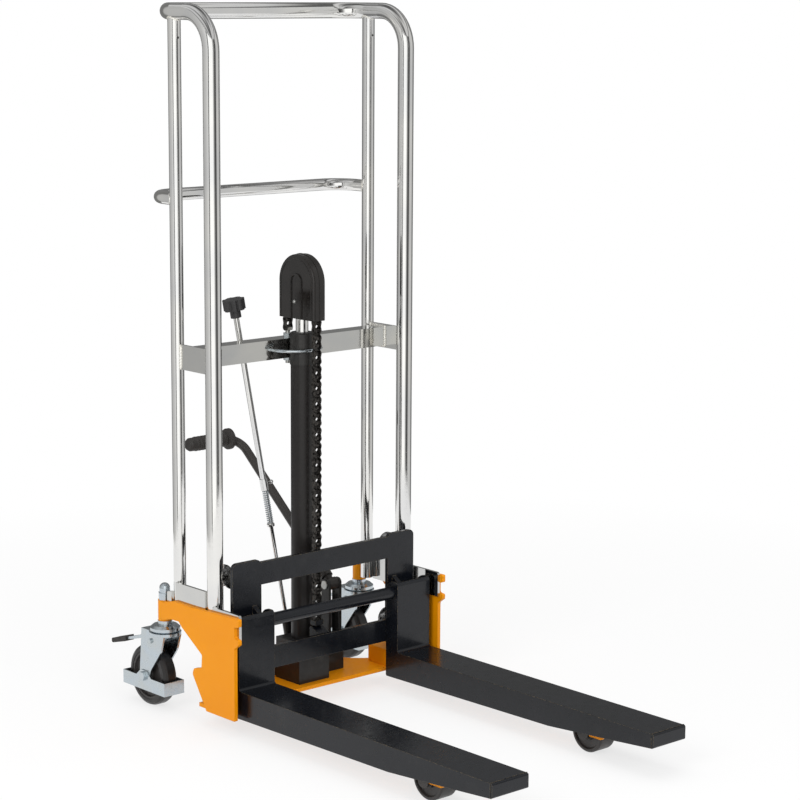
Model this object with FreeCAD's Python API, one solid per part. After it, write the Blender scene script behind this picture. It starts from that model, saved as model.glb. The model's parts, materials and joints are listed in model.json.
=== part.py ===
import FreeCAD, Part
import os
from math import atan2, cos, pi, sin, sqrt, tan

Vec = FreeCAD.Vector

# A hand hydraulic fork stacker, in millimetres. +Z is up and the forks point along -Y.
# Heights count from the floor. While the pieces are drawn, y = 0 is the plane of the front
# uprights; save() moves them so that the origin lies on the floor under the middle of the machine.

# ---- fits ----
TOUCH = 0.3             # gap between pieces of different bodies that lie side by side
RUNNING = 0.05          # radial clearance of a shaft in its bore
BOLT_PLAY = 0.3         # radial clearance of a bolt in its hole
FUSE = 0.5              # how far welded solids reach into each other before they are fused

# ---- mast ----
tube_inset = 4.0        # axes of the front uprights, inward of the outer faces of the forks
front_tube_r = 16.5
front_tube_wall = 2.5
rear_tube_r = 13.0
rear_tube_wall = 2.0
rear_row_y = 117.0      # rear uprights behind the front ones
rear_tube_foot_z = 200.0
mast_height = 1427.0
hoop_bend_r = 75.0      # centre-line bend at the top of each front upright
hoop_back_y = 175.0     # axis of the top bar behind the front uprights
hoop_corner_r = 58.0
vent_r = 2.2
vent_drop = 34.0        # vent hole below the top of the rear upright
handle_tube_r = 12.6
handle_z = 1046.0
handle_y = 207.0
handle_corner_r = 55.0

# ---- crossbar and gussets ----
crossbar_low_z = 714.0
crossbar_height = 40.0
crossbar_depth = 38.0
crossbar_wall = 3.0
gusset_t = 5.0
upper_gusset_margin = 5.0       # taller than the crossbar by this much, above and below
lower_gusset_t = 6.0
lower_gusset_low_z = 196.0
lower_gusset_high_z = 275.0
lower_gusset_tab_z = 255.0
lower_gusset_tip_z = 248.0
lower_gusset_front = 98.0
lower_gusset_rear_y = 139.0

# ---- base ----
side_plate_gap = 13.0   # from a fork to the inner face of the side plate beside it
side_plate_t = 8.0
side_front = 92.0       # front edge of a side plate, ahead of the front uprights
side_low_z = 33.0
side_top_z = 237.0
notch_z = 214.0         # middle of the notch at the front edge
notch_height = 26.0
notch_depth = 14.0
base_plate_z = 34.0     # underside of the base plate
base_plate_t = 8.0
base_plate_front = 24.0
base_plate_rear_y = 96.0
upstand_t = 6.0
upstand_top_z = 94.0

# ---- straddle legs and load rollers ----
leg_width = 46.0
leg_height = 36.0
leg_wall = 4.0
roller_y = -604.0
roller_r = 40.0
roller_width = 42.0
roller_bore_r = 10.0
cheek_t = 6.0
cheek_length = 180.0
cheek_low_z = 37.0
hub_gap = 0.4           # end float of a roller or wheel between its cheeks

# ---- hydraulic cylinder ----
cylinder_y = 32.0
barrel_r = 23.5
barrel_bore_r = 18.5
block_top_z = 130.0
gland_low_z = 703.0
gland_top_z = 769.0
gland_r = 25.0
lug_width = 14.0        # lug at the back of the barrel, just below the gland
lug_height = 18.0
ram_r = 13.0
ram_stroke = 500.0
piston_length = 25.0
bow_rod_r = 3.0
bow_half_width = 57.0

# ---- pump and lever ----
pump_x = 88.0
lobe_top_z = 96.0
pump_barrel_r = 15.0
pump_barrel_top_z = 192.0
plunger_r = 7.0
plunger_stroke = 20.0
pivot_y = 44.0
pivot_z = 226.0
pivot_pin_r = 6.0
rocker_arm = 26.0       # from the pivot to the nose that presses the plunger
rocker_nose_r = 8.0
ear_t = 6.0
rocker_width = 22.0
socket_start = 18.0     # the socket begins clear of the ears
socket_end = 72.0
lever_bar_r = 9.5
grip_y = 358.0
grip_z = 492.0
lever_corner_r = 38.0
grip_inner_x = 64.0
grip_outer_x = -44.0
grip_r = 14.5
grip_flange_r = 23.0

# ---- release control ----
valve_foot = (3.0, 79.6, 122.0)
knob_foot = (-110.0, 107.5, 800.0)
boss_sink = 30.0        # how far the valve boss starts below the valve's foot
boss_length = 42.0
spindle_start = 12.0
spindle_r = 4.2
collar_r = 8.0          # shoulders at both ends of the spring
rod_r = 5.8
cross_pin_r = 2.5
cross_pin_reach = 19.5  # from the rod's axis to the middle of the pin's ball end
cross_pin_ball_r = 4.0
spring_turns = 16
spring_pitch = 4.5
spring_coil_r = 5.8
spring_wire_r = 0.9
rod_coupling_z = 446.0
knob_r = 22.5
knob_height = 22.0
knob_hub_r = 11.0
knob_hub_height = 16.0

# ---- chain and pulley (5/8 inch roller chain) ----
chain_pitch = 15.875
half_turn_links = 9
chain_plate_half = 7.0
chain_waist_half = 5.0
chain_width = 17.0
chain_roller_r = 5.08
pulley_rest_z = 872.0
pulley_land_width = 9.0
pulley_yoke_half = 10.1 # outer faces of the pulley yoke, from the middle
pulley_hub_r = 17.0
pulley_axle_r = 8.0
chain_anchor_z = 782.0
anchor_rod_r = 5.0
chain_hook_z = 176.0
cover_r = 56.0
cover_wall = 2.2
cover_half_width = 16.0
cover_low_z = 797.0
cover_screw_r = 2.5
cover_screw_rise = 35.0

# ---- forks and carriage ----
forks_width = 508.0     # over both forks
fork_width = 90.0
fork_top_z = 88.0
fork_wall = 5.0
fork_heel_z = 31.0      # lower edge of the flanges at the heel
fork_kink_z = 38.0
fork_kink_y = -523.0
fork_tip_y = -798.0
fork_tip_z = 60.0
shank_front = 80.0      # front face of the shanks, ahead of the front uprights
shank_rear = 44.0
shank_top_z = 238.0
fork_bar_y = -61.0
fork_bar_z = 214.0
fork_bar_r = 13.0
backplate_t = 8.0
backplate_half_width = 34.0
backplate_low_z = 100.0
backplate_top_z = 336.0
crossrail_height = 46.0
guide_low_z = 136.0
guide_high_z = 300.0
guide_throat_r = 15.0
guide_width = 36.0
guide_rim_r = 22.0
guide_pin_r = 7.0

# ---- casters ----
caster_inset = 6.0      # swivel axis, inward of the side plate's inner face
caster_y = 155.0
sleeve_r = 14.0
sleeve_low_z = 187.0
sleeve_top_z = 230.0
stem_r = 8.0
washer_r = 15.0
washer_t = 8.0
race_r = 31.0
race_t = 15.0
crown_t = 6.0
crown_r = 33.0
caster_trail = 43.0
caster_wheel_r = 63.5
caster_wheel_width = 32.0
tyre_depth = 13.0
caster_bore_r = 6.0
yoke_t = 4.0
yoke_gap = 2.5          # between the wheel's side and the yoke
guard_length = 143.0
guard_low_z = 34.0
guard_height = 28.0
guard_t = 2.5
pedal_pivot_y = 20.0    # brake pivot behind the swivel axis
pedal_z = 142.0
pedal_knee = 38.0       # level run of the arm behind its pivot, clear of the tyre
pedal_drop = 34.0       # fall of the arm from the knee to the tip
pedal_length = 175.0    # swivel axis to the end of the rubber tip
pedal_tip_length = 50.0
pedal_pin_r = 5.0
shoe_start = 13.0       # brake shoe under the arm, from its pivot
shoe_end = 33.0
shoe_gap = 2.5          # rest gap between the shoe and the top of the tyre
king_pin_r = 7.0
swing_clearance = 4.0   # between the swinging toe guard and the base

# ---- worked-out places ----
fork_outer_x = forks_width / 2
tube_x = fork_outer_x - tube_inset
run_z = mast_height - front_tube_r
base_top_z = base_plate_z + base_plate_t
side_plate_x = fork_outer_x + side_plate_gap    # inner face of the side plates
side_plate_outer_x = side_plate_x + side_plate_t
lower_gusset_x = side_plate_x - lower_gusset_t  # inner face of the lower gusset plates
caster_x = side_plate_x - caster_inset
fork_inner_x = fork_outer_x - fork_width
fork_centre_x = fork_outer_x - fork_width / 2
chain_r = chain_pitch / 2 / sin(pi / half_turn_links / 2)
chain_front_y = cylinder_y - chain_r
chain_rear_y = cylinder_y + chain_r
crossbar_y = chain_rear_y - crossbar_depth / 2
crossbar_mid_z = crossbar_low_z + crossbar_height / 2
crossbar_top_z = crossbar_low_z + crossbar_height
crossbar_half = tube_x - gusset_t / 2
yoke_inner = caster_wheel_width / 2 + yoke_gap
wheel_y = caster_y + caster_trail
guard_half_width = yoke_inner + yoke_t + guard_t
swing_r = sqrt((caster_trail + guard_length / 2) ** 2 + guard_half_width ** 2) + swing_clearance
leg_outer_x = fork_centre_x + leg_width / 2
leg_rear_y = caster_y - sqrt(swing_r ** 2 - (caster_x - leg_outer_x) ** 2)
pump_y = pivot_y + rocker_arm
plunger_top_z = pivot_z - rocker_nose_r - TOUCH
race_top_z = sleeve_low_z - washer_t
crown_top_z = race_top_z - race_t - TOUCH
crown_low_z = crown_top_z - crown_t
rear_reach = grip_y + grip_flange_r
mast_shift = (-fork_tip_y - rear_reach) / 2     # moves the middle of the length to y = 0


# ---- shape helpers ----
def box(x0, x1, y0, y1, z0, z1):
    return Part.makeBox(x1 - x0, y1 - y0, z1 - z0, Vec(x0, y0, z0))


def rod(radius, start, end):
    """Round bar between two points."""
    foot = Vec(*start)
    run = Vec(*end) - foot
    return Part.makeCylinder(radius, run.Length, foot, run)


def ring(outer, inner, start, end):
    return rod(outer, start, end).cut(rod(inner, start, end))


def hexagon_nut(across, start, end, bore_r=0.0):
    """Hexagonal prism between two points, bored when bore_r is given."""
    foot = Vec(*start)
    run = Vec(*end) - foot
    side = Vec(0, 1, 0) if abs(run.x) > abs(run.z) else Vec(1, 0, 0)
    turn = FreeCAD.Rotation(run, 60)
    spoke = side * (across / sqrt(3))
    corners = []
    for _ in range(6):
        corners.append(foot + spoke)
        spoke = turn.multVec(spoke)
    nut = Part.Face(Part.makePolygon(corners + corners[:1])).extrude(run)
    return nut.cut(rod(bore_r, start, end)) if bore_r else nut


def rounded_wire(corners, closed=False):
    """Wire through (x, y, z, radius) corners, each turn made by a tangent arc."""
    spots = [Vec(x, y, z) for x, y, z, _ in corners]
    marks = []
    for i, (_, _, _, radius) in enumerate(corners):
        here = spots[i]
        if radius == 0:
            marks.append((here, here, here))
            continue
        back = (spots[i - 1] - here).normalize()
        ahead = (spots[(i + 1) % len(spots)] - here).normalize()
        half = back.getAngle(ahead) / 2
        reach = radius / tan(half)
        inward = (back + ahead).normalize()
        middle = here + inward * (radius / sin(half) - radius)
        marks.append((here + back * reach, middle, here + ahead * reach))
    edges = []
    for i, (start, middle, end) in enumerate(marks):
        if (end - start).Length > 1e-6:
            edges.append(Part.Arc(start, middle, end).toShape())
        if i + 1 < len(marks) or closed:
            following = marks[(i + 1) % len(marks)][0]
            if (following - end).Length > 1e-6:
                edges.append(Part.makeLine(end, following))
    return Part.Wire(edges)


def bent_bar(corners, radius):
    """Round bar of one radius along a path of straight runs and tangent arcs."""
    path = rounded_wire(corners)
    foot = Vec(*corners[0][:3])
    heading = Vec(*corners[1][:3]) - foot
    profile = Part.Wire(Part.makeCircle(radius, foot, heading))
    return path.makePipeShell([profile], True, True)


def bent_tube(corners, radius, wall):
    return bent_bar(corners, radius).cut(bent_bar(corners, radius - wall))


def plate_x(outline, x0, x1):
    """Plate lying across X, from (y, z, corner radius) points."""
    wire = rounded_wire([(x0, y, z, r) for y, z, r in outline], closed=True)
    return Part.Face(wire).extrude(Vec(x1 - x0, 0, 0))


def plate_y(outline, y0, y1):
    """Plate lying across Y, from (x, z, corner radius) points."""
    wire = rounded_wire([(x, y0, z, r) for x, z, r in outline], closed=True)
    return Part.Face(wire).extrude(Vec(0, y1 - y0, 0))


def turned(profile, foot, axis):
    """Solid turned about the axis through foot, from (radius, distance along axis) points."""
    points = [Vec(radius, 0, along) for radius, along in profile]
    solid = Part.Face(Part.makePolygon(points + points[:1])).revolve(Vec(0, 0, 0), Vec(0, 0, 1), 360)
    return placed(solid, foot, axis)


def placed(shape, foot, axis):
    """Shape drawn along +Z at the origin, stood on foot and pointed along axis."""
    shape.Placement = FreeCAD.Placement(Vec(*foot), FreeCAD.Rotation(Vec(0, 0, 1), Vec(*axis)))
    return shape


def mirrored(shape):
    return shape.mirror(Vec(0, 0, 0), Vec(1, 0, 0))


def save(name, *solids):
    """Write one node, moved so that the origin is under the middle of the machine."""
    whole = solids[0] if len(solids) == 1 else Part.makeCompound(list(solids))
    whole = whole.copy()
    whole.translate(Vec(0, mast_shift, 0))
    for solid in whole.Solids:
        if not solid.isValid():
            print("not valid:", name)
    whole.exportStep("parts/" + name + ".step")


def save_pair(name, left):
    """Write the left piece and its mirror image."""
    save(name + "_left", left)
    save(name + "_right", mirrored(left))


# ---- mast ----
hoop_path = [
    (-tube_x, 0, base_top_z, 0),
    (-tube_x, 0, run_z, hoop_bend_r),
    (-tube_x, hoop_back_y, run_z, hoop_corner_r),
    (tube_x, hoop_back_y, run_z, hoop_corner_r),
    (tube_x, 0, run_z, hoop_bend_r),
    (tube_x, 0, base_top_z, 0),
]
hoop_solid = bent_bar(hoop_path, front_tube_r)
mast_hoop = hoop_solid.cut(bent_bar(hoop_path, front_tube_r - front_tube_wall))


def rear_upright():
    """Left rear upright, its top coped to the side run of the hoop, with a vent hole."""
    foot = (-tube_x, rear_row_y, rear_tube_foot_z)
    head = (-tube_x, rear_row_y, run_z)
    vent_z = run_z - front_tube_r - vent_drop
    vent = rod(vent_r, (-tube_x, rear_row_y - 2 * rear_tube_r, vent_z), (-tube_x, rear_row_y, vent_z))
    tube = ring(rear_tube_r, rear_tube_r - rear_tube_wall, foot, head).cut(hoop_solid)
    return tube.cut(vent)


def push_handle():
    """U-shaped handle tube, its ends coped to the rear uprights."""
    path = [
        (-tube_x, rear_row_y, handle_z, 0),
        (-tube_x, handle_y, handle_z, handle_corner_r),
        (tube_x, handle_y, handle_z, handle_corner_r),
        (tube_x, rear_row_y, handle_z, 0),
    ]
    tube = bent_tube(path, handle_tube_r, rear_tube_wall)
    for x in (-tube_x, tube_x):
        tube = tube.cut(rod(rear_tube_r, (x, rear_row_y, handle_z - 50), (x, rear_row_y, handle_z + 50)))
    return tube


# ---- crossbar, clamp bow and chain anchor ----
def crossbar():
    """Rectangular tube between the upper gussets, drilled for the bow and the chain anchor."""
    rear = crossbar_y + crossbar_depth
    bar = box(-crossbar_half, crossbar_half, crossbar_y, rear, crossbar_low_z, crossbar_top_z)
    w = crossbar_wall
    bar = bar.cut(box(-crossbar_half - 1, crossbar_half + 1, crossbar_y + w, rear - w,
                      crossbar_low_z + w, crossbar_top_z - w))
    bar = bar.cut(rod(anchor_rod_r + BOLT_PLAY, (0, chain_rear_y, crossbar_low_z - 1),
                      (0, chain_rear_y, crossbar_top_z + 1)))
    for x in (-bow_half_width, bow_half_width):
        bar = bar.cut(rod(bow_rod_r + BOLT_PLAY, (x, crossbar_y - 1, crossbar_mid_z),
                          (x, rear + 1, crossbar_mid_z)))
    return bar


def upper_gusset():
    """Plate welded between the left front and rear uprights, at the crossbar's end."""
    plate = box(-crossbar_half - gusset_t, -crossbar_half, 0, rear_row_y,
                crossbar_low_z - upper_gusset_margin, crossbar_top_z + upper_gusset_margin)
    low = crossbar_low_z - 2 * upper_gusset_margin
    high = crossbar_top_z + 2 * upper_gusset_margin
    plate = plate.cut(rod(front_tube_r, (-tube_x, 0, low), (-tube_x, 0, high)))
    return plate.cut(rod(rear_tube_r, (-tube_x, rear_row_y, low), (-tube_x, rear_row_y, high)))


def lower_gusset():
    """Plate pieces that join the feet of the left uprights to the side plate."""
    outer = side_plate_x
    outline = [
        (-lower_gusset_front, lower_gusset_low_z, 0), (lower_gusset_rear_y, lower_gusset_low_z, 0),
        (lower_gusset_rear_y, lower_gusset_tab_z - 4, 4), (rear_row_y, lower_gusset_tab_z, 0),
        (rear_row_y, lower_gusset_high_z, 0), (0, lower_gusset_high_z, 0),
        (0, lower_gusset_tip_z, 0), (-lower_gusset_front, lower_gusset_tip_z, 6),
    ]
    plate = plate_x(outline, -outer, -lower_gusset_x)
    for y, radius in ((0, front_tube_r), (rear_row_y, rear_tube_r)):
        chord = sqrt(radius ** 2 - (lower_gusset_x - tube_x) ** 2)
        plate = plate.cut(box(-outer - 1, -lower_gusset_x + 1, y - chord, y + chord,
                              lower_gusset_low_z - 1, lower_gusset_high_z + 1))
    return plate


def cylinder_bow():
    """Round rod that loops in front of the gland, with both ends through the crossbar."""
    front = cylinder_y - gland_r - bow_rod_r - 0.05
    tail = crossbar_y + crossbar_depth + 12
    radius = bow_half_width - 1
    return bent_bar([
        (-bow_half_width, tail, crossbar_mid_z, 0),
        (-bow_half_width, front, crossbar_mid_z, radius),
        (bow_half_width, front, crossbar_mid_z, radius),
        (bow_half_width, tail, crossbar_mid_z, 0),
    ], bow_rod_r)


def chain_anchor():
    """Threaded rod through the crossbar with a clevis for the end of the chain."""
    eye_low = chain_anchor_z - 8
    stud = rod(anchor_rod_r, (0, chain_rear_y, crossbar_low_z - 14), (0, chain_rear_y, eye_low - 2))
    block = box(-6, 6, chain_rear_y - 8, chain_rear_y + 8, eye_low - 6, eye_low)
    return stud.fuse(block)


def frame_nuts():
    """Nuts of the clamp bow, the chain anchor and the caster stems."""
    rear = crossbar_y + crossbar_depth
    nuts = []
    for x in (-bow_half_width, bow_half_width):
        nuts.append(hexagon_nut(10, (x, rear, crossbar_mid_z), (x, rear + 5, crossbar_mid_z), bow_rod_r))
    for low, high in ((crossbar_low_z - 8, crossbar_low_z), (crossbar_top_z, crossbar_top_z + 8)):
        nuts.append(hexagon_nut(17, (0, chain_rear_y, low), (0, chain_rear_y, high), anchor_rod_r))
    acorn = acorn_nut()
    return nuts + [acorn, mirrored(acorn)]


# ---- hydraulic cylinder, pump block and pump ----
def cylinder_barrel():
    """Cylinder tube with a lug at the back of its upper end."""
    barrel = rod(barrel_r, (0, cylinder_y, block_top_z), (0, cylinder_y, gland_low_z))
    lug_top = gland_low_z - 1
    lug = box(-lug_width / 2, lug_width / 2, cylinder_y + barrel_r - 2, crossbar_y + 1,
              lug_top - lug_height, lug_top)
    bore = rod(barrel_bore_r, (0, cylinder_y, block_top_z - 1), (0, cylinder_y, gland_low_z + 1))
    return barrel.fuse(lug).cut(bore)


def gland_nut():
    """Head of the cylinder that guides the ram."""
    foot_z = gland_low_z
    chamfer = 3.0
    return turned([
        (ram_r + RUNNING, 0), (gland_r, 0), (gland_r, gland_top_z - foot_z - chamfer),
        (gland_r - chamfer, gland_top_z - foot_z), (ram_r + RUNNING, gland_top_z - foot_z),
    ], (0, cylinder_y, foot_z), (0, 0, 1))


def valve_axis():
    """Unit direction of the release rod, from the valve up to the knob."""
    return (Vec(*knob_foot) - Vec(*valve_foot)).normalize()


def along_valve(distance):
    """Point on the release rod's axis, as a tuple."""
    spot = Vec(*valve_foot) + valve_axis() * distance
    return (spot.x, spot.y, spot.z)


def pump_block():
    """Cast block that carries the cylinder, the hand pump and the release valve."""
    ear_inner = rocker_width / 2 + TOUCH
    ear_outer = ear_inner + ear_t
    lobe_front = pivot_y - 16
    lobe_rear = base_plate_rear_y - upstand_t
    block = box(-40, 40, cylinder_y - 38, cylinder_y + 38, base_top_z, block_top_z)
    lobe = box(-34, pump_x + ear_outer + 3, lobe_front, lobe_rear, base_top_z, lobe_top_z)
    barrel = rod(pump_barrel_r, (pump_x, pump_y, base_top_z + 10), (pump_x, pump_y, pump_barrel_top_z))
    boss = rod(spindle_r + 6, along_valve(-boss_sink), along_valve(boss_length))
    block = block.fuse([lobe, barrel, boss])
    ear_outline = [
        (pivot_y - 13, lobe_top_z - FUSE, 0), (pivot_y + 11, lobe_top_z - FUSE, 0),
        (pivot_y + 11, pivot_z + 12, 10), (pivot_y - 13, pivot_z + 12, 10),
    ]
    for side in (-1, 1):
        inner, outer = pump_x + side * ear_inner, pump_x + side * ear_outer
        block = block.fuse(plate_x(ear_outline, min(inner, outer), max(inner, outer)))
    pin_reach = ear_outer + 10
    block = block.cut(rod(pivot_pin_r, (pump_x - pin_reach, pivot_y, pivot_z),
                          (pump_x + pin_reach, pivot_y, pivot_z)))
    block = block.cut(rod(plunger_r + RUNNING, (pump_x, pump_y, lobe_top_z - plunger_stroke - 5),
                          (pump_x, pump_y, pump_barrel_top_z + 1)))
    return block.cut(rod(spindle_r + RUNNING, along_valve(spindle_start - 1), along_valve(boss_length + 1)))


def lever_pin():
    """Pivot pin of the pump lever, with a washer head at each end."""
    reach = rocker_width / 2 + TOUCH + ear_t
    pin = rod(pivot_pin_r, (pump_x - reach, pivot_y, pivot_z), (pump_x + reach, pivot_y, pivot_z))
    for side in (-1, 1):
        x = pump_x + side * reach
        pin = pin.fuse(rod(pivot_pin_r + 3, (x, pivot_y, pivot_z), (x + side * 3, pivot_y, pivot_z)))
    return pin


def lever_slope():
    return atan2(grip_z - pivot_z, grip_y - pivot_y)


def pump_lever():
    """Bent bar in a forged rocker; the rocker's nose presses the plunger."""
    slope = lever_slope()
    half = rocker_width / 2
    low, high = pump_x - half, pump_x + half

    def up_the_bar(distance):
        return (pump_x, pivot_y + distance * cos(slope), pivot_z + distance * sin(slope))

    bar = bent_bar([
        up_the_bar(4) + (0,),
        (pump_x, grip_y, grip_z, lever_corner_r),
        (grip_outer_x + 6, grip_y, grip_z, 0),
    ], lever_bar_r)
    boss = rod(pivot_pin_r + 7, (low, pivot_y, pivot_z), (high, pivot_y, pivot_z))
    nose = rod(rocker_nose_r, (low, pump_y, pivot_z), (high, pump_y, pivot_z))
    web = box(low, high, pivot_y, pump_y, pivot_z - rocker_nose_r + 2, pivot_z + rocker_nose_r)
    socket = rod(lever_bar_r + 4, up_the_bar(socket_start), up_the_bar(socket_end))
    lever = boss.fuse([nose, web, socket, bar])
    return lever.cut(rod(pivot_pin_r + RUNNING, (low - 5, pivot_y, pivot_z), (high + 5, pivot_y, pivot_z)))


def lever_grip():
    """Moulded grip: ribbed sleeve with a closed outer end and a hand-stop flange."""
    length = grip_inner_x - grip_outer_x
    bore = lever_bar_r
    profile = [(bore, 0), (grip_flange_r, 0), (grip_flange_r, 7), (grip_r, 11)]
    ribs = 9
    step = (length - 24) / ribs
    for i in range(ribs):
        start = 13 + i * step
        profile += [(grip_r, start), (grip_r + 1.2, start + 0.3 * step),
                    (grip_r + 1.2, start + 0.7 * step), (grip_r, start + step)]
    floor = length - 5.5
    profile += [(grip_r, length), (grip_r - 3, length + 5), (0, length + 5), (0, floor), (bore, floor)]
    return turned(profile, (grip_inner_x, grip_y, grip_z), (-1, 0, 0))


def pump_plunger():
    """Plunger of the hand pump, with the head that the rocker presses."""
    body = rod(plunger_r, (pump_x, pump_y, lobe_top_z), (pump_x, pump_y, plunger_top_z))
    head = rod(plunger_r + 3, (pump_x, pump_y, plunger_top_z - 5), (pump_x, pump_y, plunger_top_z))
    return body.fuse(head)


# ---- release control ----
def release_length():
    return (Vec(*knob_foot) - Vec(*valve_foot)).Length


def coupling_distance():
    return (rod_coupling_z - valve_foot[2]) / valve_axis().z


def spring_foot():
    """Distance up the release rod to the centre of the spring's lowest wire."""
    return coupling_distance() - 8 - spring_turns * spring_pitch - spring_wire_r


def release_rod():
    """Valve spindle, coupling with its cross pin, and the long rod up to the knob."""
    joint = coupling_distance()
    spindle = rod(spindle_r, along_valve(spindle_start), along_valve(joint))
    collar = rod(collar_r, along_valve(joint - 8), along_valve(joint + 16))
    foot = spring_foot() - spring_wire_r
    stop = rod(collar_r, along_valve(foot - 5), along_valve(foot))
    shaft = rod(rod_r, along_valve(joint), along_valve(release_length() + 12))
    pin_foot = Vec(*along_valve(joint + 4))
    across = valve_axis().cross(Vec(0, 1, 0)).normalize()
    tip = pin_foot - across * cross_pin_reach
    pin = rod(cross_pin_r, tuple(pin_foot), tuple(tip))
    ball = Part.makeSphere(cross_pin_ball_r, tip)
    return spindle.fuse([collar, stop, shaft, pin, ball])


def release_knob():
    """Lobed knob with a hub, bored for the rod."""
    lobes = 7
    body = Part.makeCylinder(knob_r, knob_height, Vec(0, 0, knob_hub_height))
    for i in range(lobes):
        turn = 2 * pi * i / lobes
        spot = Vec((knob_r + 5) * cos(turn), (knob_r + 5) * sin(turn), knob_hub_height - 1)
        body = body.cut(Part.makeCylinder(8, knob_height + 2, spot))
    body = body.fuse(Part.makeCylinder(knob_hub_r, knob_hub_height + FUSE))
    body = body.cut(Part.makeCylinder(rod_r, 12, Vec(0, 0, 0)))
    return placed(body, knob_foot, tuple(valve_axis()))


def release_spring():
    """Coil spring on the spindle, between the stop collar and the coupling."""
    helix = Part.makeHelix(spring_pitch, spring_turns * spring_pitch, spring_coil_r)
    profile = Part.Wire(Part.makeCircle(spring_wire_r, Vec(spring_coil_r, 0, 0), Vec(0, 1, 0)))
    coil = Part.Wire(helix).makePipeShell([profile], True, True)
    return placed(coil, along_valve(spring_foot()), tuple(valve_axis()))


# ---- base ----
def side_plate():
    """Left side plate of the base, with the sleeve that holds the caster stem."""
    top = lower_gusset_tip_z - 5
    notch_low, notch_high = notch_z - notch_height / 2, notch_z + notch_height / 2
    lip = side_front + notch_depth
    outline = [
        (caster_y, sleeve_low_z + 1, 0), (caster_y, sleeve_top_z - 1, 0),
        (caster_y - sleeve_r - 2, sleeve_top_z - 1, 0), (rear_row_y - 6, side_top_z, 8),
        (50, side_top_z, 8), (-lip, top, 3),
        (-lip, notch_high, 4), (-lip + notch_depth, notch_high - 2, 5),
        (-lip + notch_depth, notch_low + 2, 5), (-lip, notch_low, 3),
        (-lip, notch_low - 10, 3), (-side_front, notch_low - 20, 6),
        (-side_front, side_low_z, 2), (0, side_low_z, 2), (45, 101, 8),
        (40, 113, 6), (15, 119, 4), (13, 146, 4), (22, 152, 0), (79, 189, 3),
        (90, 199, 3), (rear_row_y, 198, 6),
    ]
    plate = plate_x(outline, -side_plate_outer_x, -side_plate_x)
    foot, head = (-caster_x, caster_y, sleeve_low_z), (-caster_x, caster_y, sleeve_top_z)
    plate = plate.fuse(rod(sleeve_r, foot, head))
    return plate.cut(rod(stem_r, (foot[0], foot[1], foot[2] - 1), (head[0], head[1], head[2] + 1)))


def base_crossmember():
    """Folded plate across the base: it carries the uprights, the legs and the pump block."""
    floor = box(-side_plate_x, side_plate_x, -base_plate_front, base_plate_rear_y, base_plate_z, base_top_z)
    upstand = box(-side_plate_x, side_plate_x, base_plate_rear_y - upstand_t, base_plate_rear_y,
                  base_plate_z, upstand_top_z)
    plate = floor.fuse(upstand)
    for x in (-caster_x, caster_x):
        plate = plate.cut(rod(swing_r, (x, caster_y, base_plate_z - 1), (x, caster_y, upstand_top_z + 1)))
    return plate


def leg():
    """Left straddle leg: a box beam on the base plate with two cheeks for the load roller."""
    outer, inner = -fork_centre_x - leg_width / 2, -fork_centre_x + leg_width / 2
    top = base_top_z + leg_height
    beam_front = roller_y + roller_r + 8
    beam = box(outer, inner, beam_front, leg_rear_y, base_top_z, top)
    w = leg_wall
    beam = beam.cut(box(outer + w, inner - w, beam_front - 1, leg_rear_y - w, base_top_z + w, top - w))
    rear = roller_y + cheek_length - 55
    front = roller_y - 55
    outline = [
        (rear, top, 0), (rear, base_top_z, 0), (rear - 50, cheek_low_z, 10),
        (front + 8, cheek_low_z, 6), (front, cheek_low_z + 10, 6), (front, 62, 12), (front + 24, top, 12),
    ]
    leg = beam
    for side in (-1, 1):
        near = -fork_centre_x + side * leg_width / 2
        far = near + side * cheek_t
        cheek = plate_x(outline, min(near, far), max(near, far))
        leg = leg.fuse(cheek)
    reach = leg_width / 2 + cheek_t + 1
    return leg.cut(rod(roller_bore_r, (-fork_centre_x - reach, roller_y, roller_r),
                       (-fork_centre_x + reach, roller_y, roller_r)))


def load_roller_axle():
    """Axle of the left load roller with a flat head at each end."""
    reach = leg_width / 2 + cheek_t
    axle = rod(roller_bore_r, (-fork_centre_x - reach, roller_y, roller_r),
               (-fork_centre_x + reach, roller_y, roller_r))
    for side in (-1, 1):
        x = -fork_centre_x + side * reach
        axle = axle.fuse(rod(roller_bore_r + 4, (x, roller_y, roller_r), (x + side * 3, roller_y, roller_r)))
    return axle


def load_roller():
    """Left load roller: a crowned nylon wheel with a hub and dished sides."""
    half = roller_width / 2
    hub_half = leg_width / 2 - hub_gap
    bore = roller_bore_r + RUNNING
    profile = [
        (bore, -hub_half), (roller_bore_r + 6, -hub_half), (roller_bore_r + 6, -half + 5),
        (roller_r - 9, -half + 5), (roller_r - 7, -half), (roller_r - 3, -half), (roller_r, -half + 3),
        (roller_r, half - 3), (roller_r - 3, half), (roller_r - 7, half), (roller_r - 9, half - 5),
        (roller_bore_r + 6, half - 5), (roller_bore_r + 6, hub_half), (bore, hub_half),
    ]
    return turned(profile, (-fork_centre_x, roller_y, roller_r), (1, 0, 0))


# ---- casters ----
def caster_stem():
    """Left stem bolt with its washer and the domed upper race of the swivel."""
    x, y = -caster_x, caster_y
    stem = rod(stem_r, (x, y, race_top_z), (x, y, sleeve_top_z + 20))
    washer = rod(washer_r, (x, y, race_top_z), (x, y, sleeve_low_z))
    race = turned([
        (0, 0), (race_r - 3, 0), (race_r, 3), (race_r, race_t - 6), (race_r - 6, race_t - 1),
        (washer_r, race_t), (0, race_t),
    ], (x, y, race_top_z - race_t), (0, 0, 1))
    king_pin = rod(king_pin_r, (x, y, race_top_z - race_t), (x, y, crown_low_z - 5))
    rivet = rod(king_pin_r + 5, (x, y, crown_low_z - TOUCH), (x, y, crown_low_z - 5))
    return stem.fuse([washer, race, king_pin, rivet])


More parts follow.
